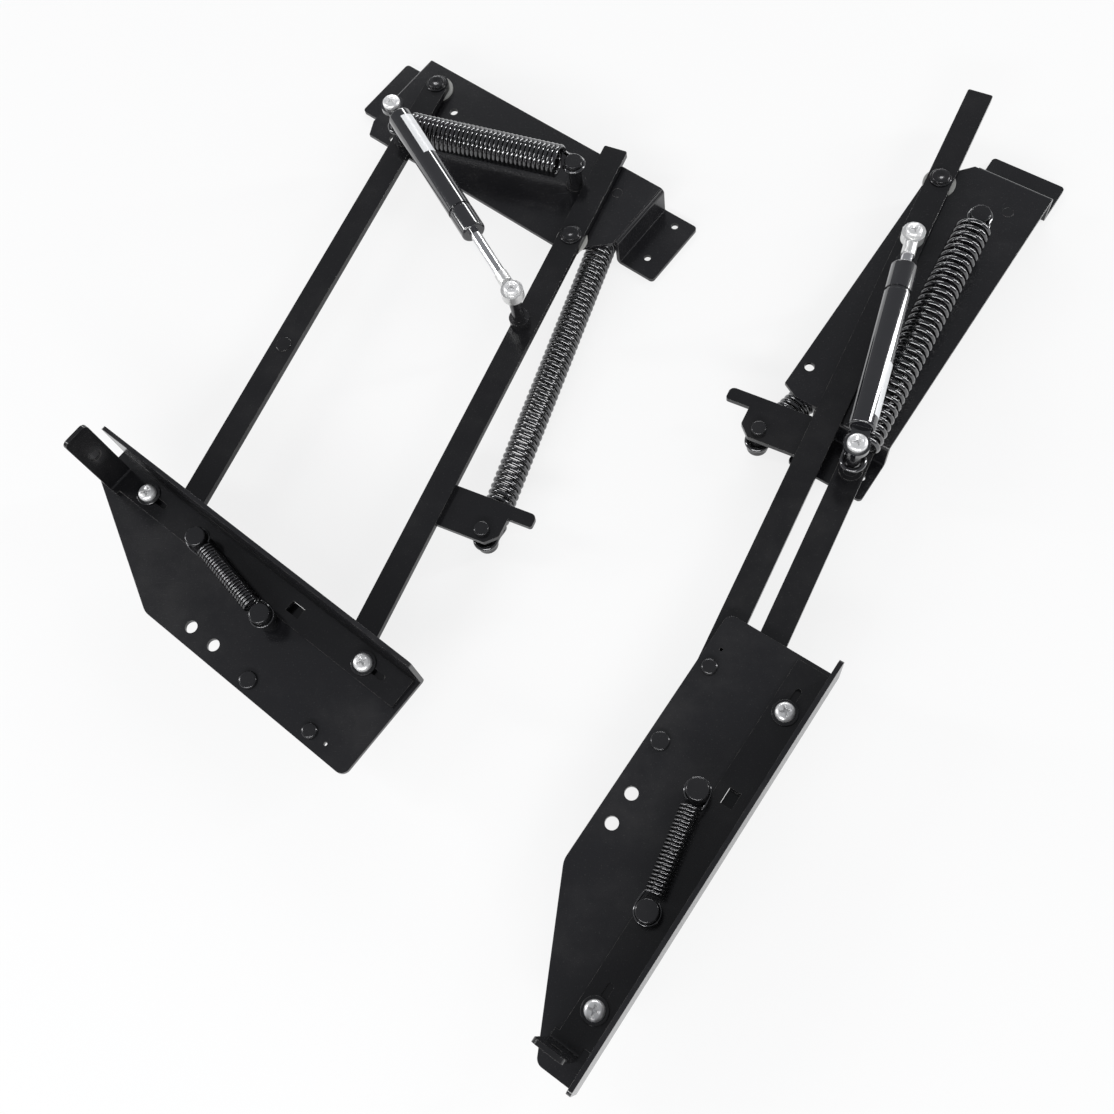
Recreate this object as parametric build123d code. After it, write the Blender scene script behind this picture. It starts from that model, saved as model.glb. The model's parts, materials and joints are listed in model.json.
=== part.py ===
from build123d import *
import math
import os

# A left and a right lift mechanism for a table top that rises and comes forward.
# Each is a parallelogram: a side plate, two equal arms and a top bracket, with
# two lift springs, a damping strut and a sprung release bar.
# The pair lies flat, the left one open and the right one folded.
# Millimetres and degrees. In each unit X runs along the side plate's flange, Y
# towards the raised top, Z out of the plate, from the front arm's lower pivot.

os.makedirs("parts", exist_ok=True)

# The arms' angle from the flange at the two ends of their travel
open_angle = 104.0
folded_angle = -8.1

# Where each unit lies: its lower pivot, the direction of its flange, its arm angle
left_place = (-269.9, 36.7)
left_turn = -37.2
left_arm_angle = open_angle
right_place = (44.0, -259.4)
right_turn = 56.4
right_arm_angle = folded_angle

# Sheet and levels
sheet = 3.0
arm_thick = 5.0
lower_washer_thick = 2.0
top_washer_thick = 2.0
seat_gap = 0.02
running_gap = 0.05
float_gap = 0.3
face_gap = 0.1

# Side plate
pivot_spacing_x = 182.0
pivot_drop_y = 55.0
plate_near_x = -70.5
plate_far_x = 219.5
plate_low_y = -64.0
plate_slope_near_y = -12.0
plate_slope_far_x = 32.0
plate_slope_round = 14.0
plate_corner_round = 6.0
flange_face_y = 16.0
flange_height = 37.5
flange_corner = 4.0
mount_hole_x = 66.5
mount_hole_spacing = 21.7
mount_hole_y = -52.0
mount_hole_r = 4.4
spare_hole_x = 196.0
spare_hole_r = 1.2
stop_rivet_x = 125.0
stop_rivet_r = 6.3
stop_rivet_high = 2.5

# Release bar and its guides
bar_thick = 3.0
bar_width = 22.0
bar_tab_x = -57.0
bar_end_x = 216.0
bar_stroke = 12.0
tab_width = 20.0
tab_offset_y = -4.0
tab_height = 70.0
tab_corner = 4.0
tab_dimple_r = 4.5
tab_dimple_deep = 1.0
tab_dimple_height = 41.0
guide_near_x = -27.8
guide_far_x = 181.5
guide_slot_past = 18.0
guide_screw_r = 2.0
guide_head_r = 6.3
guide_head_high = 4.4
guide_washer_r = 8.5
guide_washer_thick = 1.2
tongue_x = 127.0
tongue_width = 8.0
bar_window_long = 11.0
tongue_foot_long = 16.0
tongue_gap = 0.4
tongue_foot_thick = 1.5
release_post_x = 34.4
release_post_y = -4.0
anchor_post_x = 109.5
anchor_post_y = -17.5
release_post_r = 4.0
release_collar_r = 5.5
release_pin_r = 6.5
release_head_r = 7.2
release_head_thick = 3.5
release_spring_level = 16.0
release_spring_wire = 1.6
release_spring_outer_r = 7.0
release_spring_curls = 11

# Arms
arm_length = 412.0
arm_width = 19.0
arm_tail = 7.0
arm_tail_corner = 4.5
rear_arm_past = 85.0
rear_arm_corner = 1.5
arm_boss_along = 153.0
arm_boss_r = 6.0
arm_boss_high = 1.0
lower_pin_r = 5.0
lower_pin_head_r = 7.0
lower_pin_head_thick = 3.0
lower_washer_r = 8.5
lower_pin_cap_r = 5.5
lower_pin_cap_high = 3.0

# Top bracket, measured from the front arm's upper pivot
bracket_near_x = -28.0
bracket_far_x = 212.0
bracket_top_y = 21.0
bracket_low_y = -65.0
bracket_cut_x = 182.0
bracket_cut_y = -40.0
bracket_near_cut = 12.0
foot_level = -36.0
foot_near_long = 32.0
foot_far_long = 31.0
foot_high_y = 21.0
foot_low_y = -37.0
foot_bend = 4.0
foot_corner = 3.0
foot_hole_spacing = 35.0
foot_hole_middle_y = -5.0
foot_hole_r = 2.75
bracket_hole_x = 0.6
bracket_hole_y = -57.0
bracket_hole_r = 3.5
small_hole_x = 25.0
small_hole_y = -10.0
small_hole_r = 3.2

# Upper pivots
top_bolt_r = 4.0
top_bolt_collar_r = 8.0
top_bolt_collar_thick = 1.2
top_bolt_head_r = 6.5
top_bolt_head_high = 1.7
top_nut_flats = 13.0
top_nut_thick = 6.0
top_washer_r = 12.0
open_pivot_gap = 0.3

# Strut, from the post on the front arm to the stud on the rear arm
strut_post_back = 59.0
strut_stud_back = 82.0
strut_stud_offset = 4.0
strut_level = 33.0
strut_post_r = 5.0
strut_post_collar_r = 8.0
strut_post_collar_thick = 2.0
strut_stud_r = 4.5
strut_stud_collar_r = 7.5
strut_stud_collar_thick = 6.0
strut_tail_r = 3.5
strut_cylinder_r = 9.0
strut_cylinder_start = 13.0
strut_end_gap = 9.0
strut_wall = 1.4
strut_blade_thick = 4.0
strut_blade_r = 8.5
strut_blade_width = 12.0
strut_rod_r = 4.0
strut_piston_long = 8.0
strut_piston_spare = 6.0
strut_crimp_back = 22.0
strut_crimp_wide = 2.5
strut_crimp_deep = 0.8
strut_end_thick = 27.0
strut_eye_r = 8.0
strut_eye_top = 3.0
strut_eye_shank_r = 4.8
strut_eye_shank_long = 18.0
strut_screw_r = 3.0
strut_screw_head_r = 6.6
strut_eye_screw_head_r = 5.7
strut_screw_head_high = 4.0
strut_screw_deep = 12.0

# Lift springs
short_spring_x = 153.0
short_spring_y = -12.0
short_spring_level = 11.0
short_spring_outer_r = 12.5
short_spring_wire = 3.5
short_spring_curls = 17
short_spring_head_r = 7.0
long_spring_x = 184.0
long_spring_y = -1.0
long_spring_level = -26.5
long_spring_outer_r = 11.0
long_spring_wire = 3.8
long_spring_curls = 20
long_spring_head_r = 7.0
spring_post_r = 5.0
spring_post_collar_r = 8.0
spring_post_collar_thick = 2.0
spring_head_thick = 2.7
spring_eye_gap = 0.5
spring_start_gap = 1.2
spring_stub = 4.0

# Bracket for the long spring, on the rear arm, set back from its upper pivot
spring_plate_thick = 4.0
spring_plate_long = 32.0
spring_plate_inner = 5.0
spring_plate_outer = -53.0
spring_finger_wide = 10.0
spring_finger_outer = -71.0
spring_plate_round = 4.0
spring_plate_corner = 8.0
spring_plate_ease = 2.0
long_bolt_back = 240.0
long_bolt_inset = 24.0
long_bolt_across = -40.0
long_bolt_head_r = 5.4
long_bolt_head_thick = 4.0
long_bolt_collar_r = 7.0
long_bolt_collar_thick = 2.0
long_bolt_nut_r = 7.5
long_bolt_nut_thick = 6.0
long_bolt_end_past = 2.9

# Levels that follow from the sheet and washer sizes
plate_under = -sheet
arm_top = plate_under - lower_washer_thick
arm_under = arm_top - arm_thick
bracket_top = arm_under - top_washer_thick
bracket_under = bracket_top - sheet
flange_inner_y = flange_face_y - sheet
strut_eye_low = -strut_eye_shank_r - face_gap
long_bolt_along = arm_length - long_bolt_back
spring_plate_far = long_bolt_along + long_bolt_inset
spring_plate_near = spring_plate_far - spring_plate_long


def flat(points, low, high, rounds=()):
    """A plate with that outline between two levels; rounds lists (corner, radius)."""
    face = make_face(Polyline(*points, close=True))
    for corner, radius in rounds:
        spot = face.vertices().sort_by_distance((corner[0], corner[1], 0))[0]
        face = fillet(spot, radius)
    return Pos(0, 0, low) * extrude(face, amount=high - low, dir=(0, 0, 1))


def block(x, y, z):
    """A box between two values of each of x, y and z."""
    size = (x[1] - x[0], y[1] - y[0], z[1] - z[0])
    centre = Pos((x[0] + x[1]) / 2, (y[0] + y[1]) / 2, (z[0] + z[1]) / 2)
    return centre * Box(*size)


def rod(x, y, radius, low, high):
    """An upright round bar between two levels."""
    return Pos(x, y, (low + high) / 2) * Cylinder(radius, high - low)


def head(x, y, radius, low, high, ease):
    """A round head with its upper edge eased."""
    body = rod(x, y, radius, low, high)
    rim = body.edges().sort_by(Axis.Z)[-1]
    return fillet(rim, ease)


def slot_cut(x_low, x_high, y, width, low, high):
    """The space of a round-ended slot along X."""
    half = width / 2
    space = block((x_low + half, x_high - half), (y - half, y + half), (low, high))
    for end in (x_low + half, x_high - half):
        space += rod(end, y, half, low, high)
    return space


def cross_screw(x, y, seat, head_radius, head_high, shank_radius, shank_end):
    """A pan head screw with a cross recess, its head on the seat."""
    ease = min(head_high * 0.45, head_radius * 0.3)
    body = head(x, y, head_radius, seat, seat + head_high, ease)
    body += rod(x, y, shank_radius, shank_end, seat)
    arm = head_radius * 0.55
    wing = head_radius * 0.11
    deep = head_high * 0.45
    for reach in ((arm, wing), (wing, arm)):
        body -= block(
            (x - reach[0], x + reach[0]),
            (y - reach[1], y + reach[1]),
            (seat + head_high - deep, seat + head_high + 1),
        )
    return body


def hexagon(x, y, flats, low, high):
    """A six-sided block across those flats."""
    face = RegularPolygon(flats / 2, 6, major_radius=False)
    return Pos(x, y, low) * extrude(face, amount=high - low, dir=(0, 0, 1))


# Wound springs
def arc_piece(start, heading, end):
    """One arc that leaves start along heading and reaches end, or a line."""
    chord = end - start
    along = chord.normalized()
    side = heading - along * heading.dot(along)
    if side.length < 1e-7:
        return Line(start, end)
    turn = heading.get_angle(chord) * math.pi / 180
    rise = chord.length / 2 * math.tan(turn / 2)
    middle = start + chord * 0.5 + side.normalized() * rise
    return ThreePointArc(start, middle, end)


def two_arcs(start, heading, end, arrival):
    """Two arcs that meet smoothly, from start along heading to end along arrival."""
    chord = end - start
    both = heading + arrival
    a = 2 * (heading.dot(arrival) - 1)
    b = -2 * chord.dot(both)
    c = chord.dot(chord)
    if abs(a) < 1e-9:
        reach = -c / b
    else:
        root = math.sqrt(b * b - 4 * a * c)
        reach = max((-b - root) / (2 * a), (-b + root) / (2 * a))
    first = start + heading * reach
    last = end - arrival * reach
    meet = (first + last) * 0.5
    middle = (last - first).normalized()
    return [arc_piece(start, heading, meet), arc_piece(meet, middle, end)]


def spring_route(length, eye_r, coil_r, wire, curls, stub):
    """Points with headings of a spring from one post at 0 to the other at length."""
    near = eye_r + wire + spring_start_gap
    far = length - near
    steps = []
    for degrees in (45, 90, 180):
        a = math.radians(degrees)
        spot = Vector(eye_r * math.cos(a), eye_r * math.sin(a), 0)
        steps.append((spot, Vector(-math.sin(a), math.cos(a), 0)))
    start = steps[0][0] - steps[0][1] * stub
    steps.insert(0, (start, steps[0][1]))
    a = math.radians(270)
    steps.append((Vector(0, -eye_r, 0), Vector(1, 0, 0)))
    steps.append((Vector(eye_r / 4, -eye_r, 0), Vector(1, 0, 0)))
    quarter = 4 * curls + 2
    pitch = (far - near) / (curls + 0.5)
    rise = Vector(pitch / (2 * math.pi), 0, 0)
    coil = []
    for i in range(quarter + 1):
        a = math.pi / 2 * i
        round_part = Vector(0, -coil_r * math.cos(a), coil_r * math.sin(a))
        spot = Vector(near + pitch * i / 4, 0, 0) + round_part
        along = rise + Vector(0, coil_r * math.sin(a), coil_r * math.cos(a))
        coil.append((spot, along.normalized()))
    other = []
    for spot, along in reversed(steps):
        turned = Vector(length - spot.X, -spot.Y, spot.Z)
        other.append((turned, Vector(along.X, along.Y, -along.Z)))
    return steps + coil + other, pitch


def wound_spring(name, length, eye_r, coil_r, wire, curls, stub):
    """The spring's tube and its least gap to itself."""
    steps, pitch = spring_route(length, eye_r, coil_r, wire, curls, stub)
    pieces = []
    for (p, u), (q, v) in zip(steps, steps[1:]):
        if (q - p).cross(u).length < 1e-6 and u.cross(v).length < 1e-6:
            pieces.append(Line(p, q))
        else:
            pieces += two_arcs(p, u, q, v)
    points = []
    travel = [0.0]
    for piece in pieces:
        for i in range(6):
            points.append(piece @ (i / 6))
    for p, q in zip(points, points[1:]):
        travel.append(travel[-1] + (q - p).length)
    least = length
    for i in range(0, len(points)):
        for j in range(i + 6, min(len(points), i + 80)):
            if travel[j] - travel[i] > 3 * wire:
                least = min(least, (points[i] - points[j]).length - wire)
    print(f"{name}: pitch {pitch:.2f}, least gap to itself {least:.2f}")
    path = Wire([edge for piece in pieces for edge in piece.edges()])
    profile = Plane(origin=steps[0][0], z_dir=steps[0][1]) * Circle(wire / 2)
    return sweep(profile, path=path)


# Places that turn with the arms
def direction(angle):
    return (math.cos(math.radians(angle)), math.sin(math.radians(angle)))


def along_arm(start, angle, reach, across=0.0):
    """A point on an arm that starts at a pivot."""
    ux, uy = direction(angle)
    return (start[0] + reach * ux - across * uy, start[1] + reach * uy + across * ux)


def between(start, end):
    """Distance and direction from one point to another."""
    dx, dy = end[0] - start[0], end[1] - start[1]
    return math.hypot(dx, dy), math.degrees(math.atan2(dy, dx))


front_pivot = (0.0, 0.0)
rear_pivot = (pivot_spacing_x, -pivot_drop_y)


def joints_at(angle):
    """Where the moving pivots are at an arm angle."""
    q = along_arm(front_pivot, angle, arm_length)
    post = along_arm(front_pivot, angle, arm_length - strut_post_back)
    stud = along_arm(rear_pivot, angle, arm_length - strut_stud_back, strut_stud_offset)
    bolt = along_arm(rear_pivot, angle, long_bolt_along, long_bolt_across)
    return {
        "upper": q,
        "post": post,
        "stud": stud,
        "bolt": bolt,
        "short": (q[0] + short_spring_x, q[1] + short_spring_y),
        "long": (q[0] + long_spring_x, q[1] + long_spring_y),
    }


def strut_span(angle):
    """How far the strut's stud is from its post at an arm angle."""
    at = joints_at(angle)
    return between(at["post"], at["stud"])[0]


# The folded span sets the strut's cylinder, the open one how far its rod goes in
strut_cylinder_end = strut_span(folded_angle) - strut_eye_shank_long - strut_end_gap
strut_rod_inside = strut_span(open_angle) - strut_eye_shank_long - strut_cylinder_end
strut_rod_inside += strut_end_thick + strut_piston_long + strut_piston_spare


# Side plate with its flange
def side_plate():
    near, far = plate_near_x, plate_far_x
    outline = [
        (near, flange_inner_y + 1),
        (near, plate_slope_near_y),
        (plate_slope_far_x, plate_low_y),
        (far, plate_low_y),
        (far, flange_inner_y + 1),
    ]
    rounds = [
        ((plate_slope_far_x, plate_low_y), plate_slope_round),
        ((far, plate_low_y), plate_corner_round),
        ((near, plate_slope_near_y), plate_corner_round),
    ]
    plate = flat(outline, plate_under, 0, rounds)
    bend = [
        (flange_inner_y, plate_under),
        (flange_face_y, plate_under),
        (flange_face_y, flange_height),
        (flange_inner_y, flange_height),
    ]
    wall = flat(bend, 0, far - near, [((flange_face_y, plate_under), 0.95 * sheet)])
    wall = Pos(near, 0, 0) * Rot(0, 0, 90) * Rot(90, 0, 0) * wall
    for x in (near, far):
        corner = wall.edges().filter_by(Axis.Y).sort_by_distance((x, flange_face_y, flange_height))[0]
        wall = fillet(corner, flange_corner)
    plate += wall
    for x in (mount_hole_x, mount_hole_x + mount_hole_spacing):
        plate -= rod(x, mount_hole_y, mount_hole_r, plate_under - 1, 1)
    plate -= rod(spare_hole_x, -pivot_drop_y, spare_hole_r, plate_under - 1, 1)
    for x, y in (front_pivot, rear_pivot):
        plate -= rod(x, y, lower_pin_r + seat_gap, plate_under - 1, 1)
    plate -= rod(stop_rivet_x, -pivot_drop_y, release_post_r + seat_gap, plate_under - 1, 1)
    plate -= rod(anchor_post_x, anchor_post_y, release_post_r + seat_gap, plate_under - 1, 1)
    for x in (guide_near_x, guide_far_x):
        plate -= rod(x, 0, guide_screw_r + seat_gap, plate_under - 1, 1)
    window_long = max(tongue_foot_long, bar_thick + bar_stroke)
    plate -= block(
        (tongue_x - window_long - tongue_gap, tongue_x + tongue_gap),
        (-tongue_width / 2 - tongue_gap, tongue_width / 2 + tongue_gap),
        (plate_under - 1, 1),
    )
    return plate


# Release bar with its slots, its bent tongue and its upright pull tab
def latch_bar():
    half = bar_width / 2
    tab_low = tab_offset_y - tab_width / 2
    tab_high = tab_offset_y + tab_width / 2
    bar = block((bar_tab_x, bar_end_x), (-half, half), (0, bar_thick))
    for x in (guide_near_x, guide_far_x):
        start = x - guide_screw_r - running_gap - 0.5
        width = 2 * (guide_screw_r + running_gap)
        bar -= slot_cut(start, x + guide_slot_past, 0, width, -1, bar_thick + 1)
    side = [
        (bar_tab_x, 0),
        (bar_tab_x + 3 * bar_thick, 0),
        (bar_tab_x + 3 * bar_thick, bar_thick),
        (bar_tab_x + bar_thick, bar_thick),
        (bar_tab_x + bar_thick, tab_height),
        (bar_tab_x, tab_height),
    ]
    bends = [
        ((bar_tab_x, 0), bar_thick),
        ((bar_tab_x + bar_thick, bar_thick), bar_thick / 2),
    ]
    tab = flat(side, 0, tab_width, bends)
    tab = Pos(0, tab_high, 0) * Rot(90, 0, 0) * tab
    for y in (tab_low, tab_high):
        near = (bar_tab_x + bar_thick / 2, y, tab_height)
        corner = tab.edges().filter_by(Axis.X).sort_by_distance(near)[0]
        tab = fillet(corner, tab_corner)
    bar -= block((bar_tab_x - 1, bar_tab_x + 3 * bar_thick), (-half - 1, half + 1), (-1, bar_thick + 1))
    bar += tab
    dimple = Pos(bar_tab_x + bar_thick, tab_offset_y, tab_dimple_height)
    bar -= dimple * Rot(0, 90, 0) * Cylinder(tab_dimple_r, 2 * tab_dimple_deep)
    width = tongue_width / 2
    start = tongue_x - bar_thick - bar_window_long
    bar -= block((start, tongue_x - bar_thick), (-width, width), (-1, bar_thick + 1))
    foot_top = plate_under - face_gap
    foot_low = foot_top - tongue_foot_thick
    bar += block((tongue_x - bar_thick, tongue_x), (-width, width), (foot_low, bar_thick))
    bar += block((tongue_x - tongue_foot_long, tongue_x), (-width, width), (foot_low, foot_top))
    bar -= rod(release_post_x, release_post_y, release_post_r + seat_gap, -1, bar_thick + 1)
    return bar


def guide_screws():
    seat = bar_thick + face_gap + guide_washer_thick
    group = []
    for x in (guide_near_x, guide_far_x):
        group.append(
            cross_screw(x, 0, seat, guide_head_r, guide_head_high, guide_screw_r, plate_under)
        )
    return group


def guide_washers():
    low = bar_thick + face_gap
    group = []
    for x in (guide_near_x, guide_far_x):
        ring = rod(x, 0, guide_washer_r, low, low + guide_washer_thick)
        group.append(ring - rod(x, 0, guide_screw_r + seat_gap, low - 1, low + 5))
    return group


def spring_post(x, y, base, foot):
    """A post for the release spring, riveted through a sheet."""
    top = release_spring_level + release_spring_wire / 2 + 2
    post = rod(x, y, release_post_r, foot, base)
    post += rod(x, y, release_collar_r, base, bar_thick + 1)
    post += rod(x, y, release_pin_r, bar_thick + 1, top)
    return post + head(x, y, release_head_r, top, top + release_head_thick, 1.2)


def lower_pins():
    """The two lower pivots; the front one ends flush under the release bar."""
    low = arm_under - face_gap
    group = []
    for (x, y), top in ((front_pivot, -face_gap), (rear_pivot, 0)):
        pin = rod(x, y, lower_pin_r, low, top)
        pin += rod(x, y, lower_pin_head_r, low - lower_pin_head_thick, low)
        if top == 0:
            pin += head(x, y, lower_pin_cap_r, 0, lower_pin_cap_high, 2)
        group.append(pin)
    return group


def lower_washers():
    group = []
    for x, y in (front_pivot, rear_pivot):
        ring = rod(x, y, lower_washer_r, arm_top, plate_under)
        group.append(ring - rod(x, y, lower_pin_r + running_gap, arm_top - 1, 0))
    return group


def stop_rivet():
    y = -pivot_drop_y
    rivet = rod(stop_rivet_x, y, release_post_r, plate_under, 0)
    return rivet + head(stop_rivet_x, y, stop_rivet_r, 0, stop_rivet_high, 1.6)


# Arms, along X from their lower pivot
def arm_blank(end, square):
    half = arm_width / 2
    outline = [(-arm_tail, -half), (end, -half), (end, half), (-arm_tail, half)]
    rounds = [((-arm_tail, -half), arm_tail_corner), ((-arm_tail, half), arm_tail_corner)]
    if square:
        rounds += [((end, -half), rear_arm_corner), ((end, half), rear_arm_corner)]
    arm = flat(outline, arm_under, arm_top, rounds)
    if not square:
        arm += rod(end, 0, half, arm_under, arm_top)
    return arm - rod(0, 0, lower_pin_r + running_gap, arm_under - 1, arm_top + 1)


def front_arm():
    arm = arm_blank(arm_length, False)
    arm += head(arm_boss_along, 0, arm_boss_r, arm_top, arm_top + arm_boss_high, 0.6)
    arm -= rod(arm_length, 0, top_bolt_r + running_gap, arm_under - 1, arm_top + 1)
    post = arm_length - strut_post_back
    return arm - rod(post, 0, strut_tail_r + seat_gap, arm_under - 1, arm_top + 1)


def rear_arm():
    arm = arm_blank(arm_length + rear_arm_past, True)
    arm -= rod(arm_length, 0, top_bolt_r + open_pivot_gap, arm_under - 1, arm_top + 1)
    stud = arm_length - strut_stud_back
    return arm - rod(stud, strut_stud_offset, strut_tail_r + seat_gap, arm_under - 1, arm_top + 1)


def strut_post():
    x = arm_length - strut_post_back
    top = strut_level - strut_blade_thick / 2 - face_gap
    post = rod(x, 0, strut_post_r, arm_top, top)
    post += rod(x, 0, strut_post_collar_r, arm_top, arm_top + strut_post_collar_thick)
    post += rod(x, 0, strut_tail_r, arm_under, arm_top)
    return post - rod(x, 0, strut_screw_r + seat_gap, top - strut_screw_deep, top + 1)


def strut_post_screw():
    x = arm_length - strut_post_back
    seat = strut_level + strut_blade_thick / 2 + face_gap
    end = strut_level - strut_blade_thick / 2 - strut_screw_deep + 1
    return cross_screw(x, 0, seat, strut_screw_head_r, strut_screw_head_high, strut_screw_r, end)


def strut_stud():
    x = arm_length - strut_stud_back
    top = strut_level + strut_eye_low - float_gap
    stud = rod(x, strut_stud_offset, strut_stud_r, arm_top, top)
    collar = arm_top + strut_stud_collar_thick
    stud += rod(x, strut_stud_offset, strut_stud_collar_r, arm_top, collar)
    return stud + rod(x, strut_stud_offset, strut_tail_r, arm_under, arm_top)


def spring_plate():
    """The plate under the rear arm that carries the long spring, with its finger."""
    near, far, outer = spring_plate_near, spring_plate_far, spring_plate_outer
    finger = far - spring_finger_wide
    corner = spring_plate_corner
    outline = [
        (near, spring_plate_inner),
        (near, outer + corner),
        (near + corner, outer),
        (finger, outer),
        (finger, spring_finger_outer),
        (far, spring_finger_outer),
        (far, spring_plate_inner),
    ]
    rounds = [
        ((near, outer + corner), spring_plate_ease),
        ((near + corner, outer), spring_plate_ease),
        ((finger, spring_finger_outer), spring_plate_ease),
        ((far, spring_finger_outer), spring_plate_round),
    ]
    plate = flat(outline, arm_under - spring_plate_thick, arm_under, rounds)
    under = arm_under - spring_plate_thick
    hole = rod(long_bolt_along, long_bolt_across, spring_post_r + seat_gap, under - 1, arm_under + 1)
    return plate - hole


def long_spring_bolt():
    x, y = long_bolt_along, long_bolt_across
    under = arm_under - spring_plate_thick
    eye_low = long_spring_level - long_spring_wire / 2 - 1
    bolt = rod(x, y, spring_post_r, eye_low, arm_under)
    bolt += head(x, y, long_bolt_head_r, arm_under, arm_under + long_bolt_head_thick, 1.2)
    bolt += rod(x, y, long_bolt_collar_r, under - long_bolt_collar_thick, under)
    nut_low = eye_low - long_bolt_nut_thick
    bolt += rod(x, y, long_bolt_nut_r, nut_low, eye_low)
    return bolt + rod(x, y, spring_post_r, nut_low - long_bolt_end_past, nut_low)


# Top bracket: a plate with a stepped foot at each end
def bent_foot(points, bends):
    strip = flat(points, 0, foot_high_y - foot_low_y, bends)
    return Pos(0, foot_high_y, 0) * Rot(90, 0, 0) * strip


def top_bracket():
    near, far = bracket_near_x, bracket_far_x
    top, under = bracket_top, bracket_under
    inside = 20.0
    outline = [
        (near + sheet, foot_high_y),
        (near + sheet, bracket_low_y + bracket_near_cut),
        (near + sheet + bracket_near_cut / 2, bracket_low_y),
        (bracket_cut_x, bracket_low_y),
        (far - sheet, bracket_cut_y),
        (far - sheet, bracket_top_y),
    ]
    rounds = [((bracket_cut_x, bracket_low_y), 6)]
    plate = flat(outline, under, top, rounds)
    tip = near - foot_near_long
    foot_under = foot_level - sheet
    near_strip = [
        (near + inside, top),
        (near, top),
        (near, foot_level),
        (tip, foot_level),
        (tip, foot_under),
        (near + sheet, foot_under),
        (near + sheet, under),
        (near + inside, under),
    ]
    near_bends = [((near, top), foot_bend), ((near + sheet, foot_under), foot_bend)]
    near_bends += [((near, foot_level), 1), ((near + sheet, under), 1)]
    plate += bent_foot(near_strip, near_bends)
    end = far + foot_far_long
    far_strip = [
        (far - inside, top),
        (far, top),
        (far, foot_level),
        (end, foot_level),
        (end, foot_under),
        (far - sheet, foot_under),
        (far - sheet, under),
        (far - inside, under),
    ]
    far_bends = [((far, top), foot_bend), ((far - sheet, foot_under), foot_bend)]
    far_bends += [((far, foot_level), 1), ((far - sheet, under), 1)]
    plate += bent_foot(far_strip, far_bends)
    for x in (tip, end):
        for y in (foot_low_y, foot_high_y):
            corner = plate.edges().filter_by(Axis.Z).sort_by_distance((x, y, foot_level))[0]
            plate = fillet(corner, foot_corner)
    for x in (near - foot_near_long / 2, far + foot_far_long / 2):
        for side in (-0.5, 0.5):
            y = foot_hole_middle_y + side * foot_hole_spacing
            plate -= rod(x, y, foot_hole_r, foot_under - 1, foot_level + 1)
    plate -= rod(bracket_hole_x, bracket_hole_y, bracket_hole_r, under - 1, top + 1)
    plate -= rod(small_hole_x, small_hole_y, small_hole_r, under - 1, top + 1)
    for x, y in (front_pivot, rear_pivot):
        plate -= rod(x, y, top_bolt_r + seat_gap, under - 1, top + 1)
    for x, y in ((short_spring_x, short_spring_y), (long_spring_x, long_spring_y)):
        plate -= rod(x, y, release_post_r + seat_gap, under - 1, top + 1)
    return plate


def top_bolts():
    """Two collar bolts and their nuts."""
    group = []
    for x, y in (front_pivot, rear_pivot):
        seat = arm_top + face_gap
        bolt = rod(x, y, top_bolt_r, bracket_under - top_nut_thick - 1, seat)
        bolt += rod(x, y, top_bolt_collar_r, seat, seat + top_bolt_collar_thick)
        crown = seat + top_bolt_collar_thick
        bolt += head(x, y, top_bolt_head_r, crown, crown + top_bolt_head_high, 1)
        nut = hexagon(x, y, top_nut_flats, bracket_under - top_nut_thick, bracket_under)
        nut -= rod(x, y, top_bolt_r + seat_gap, bracket_under - 20, bracket_under + 1)
        group += [bolt, nut]
    return group


def top_washers():
    group = []
    for x, y in (front_pivot, rear_pivot):
        ring = rod(x, y, top_washer_r, bracket_top, arm_under)
        group.append(ring - rod(x, y, top_bolt_r + seat_gap, bracket_top - 1, arm_under + 1))
    return group


def short_spring_post():
    x, y = short_spring_x, short_spring_y
    end = short_spring_level - short_spring_wire / 2 - 0.4
    post = rod(x, y, spring_post_r, bracket_top, end)
    post += rod(x, y, release_post_r, bracket_under, bracket_top)
    collar = bracket_top + spring_post_collar_thick
    return post + rod(x, y, spring_post_collar_r, bracket_top, collar)


def long_spring_post():
    x, y = long_spring_x, long_spring_y
    end = long_spring_level + long_spring_wire / 2 + 0.4
    post = rod(x, y, spring_post_r, end, bracket_under)
    post += rod(x, y, release_post_r, bracket_under, bracket_top)
    collar = bracket_under - spring_post_collar_thick
    return post + rod(x, y, spring_post_collar_r, collar, bracket_under)


def short_spring_pin():
    """The headed end of the post, which goes with the spring's eye. It sits at 0."""
    low = short_spring_level - short_spring_wire / 2 - 0.4 + float_gap
    high = short_spring_level + short_spring_wire / 2 + 0.4
    pin = rod(0, 0, spring_post_r, low, high)
    return pin + head(0, 0, short_spring_head_r, high, high + spring_head_thick, 1)


def long_spring_pin():
    high = long_spring_level + long_spring_wire / 2 + 0.4 - float_gap
    low = long_spring_level - long_spring_wire / 2 - 0.4
    pin = rod(0, 0, spring_post_r, low, high)
    return pin + rod(0, 0, long_spring_head_r, low - spring_head_thick, low)


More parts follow.
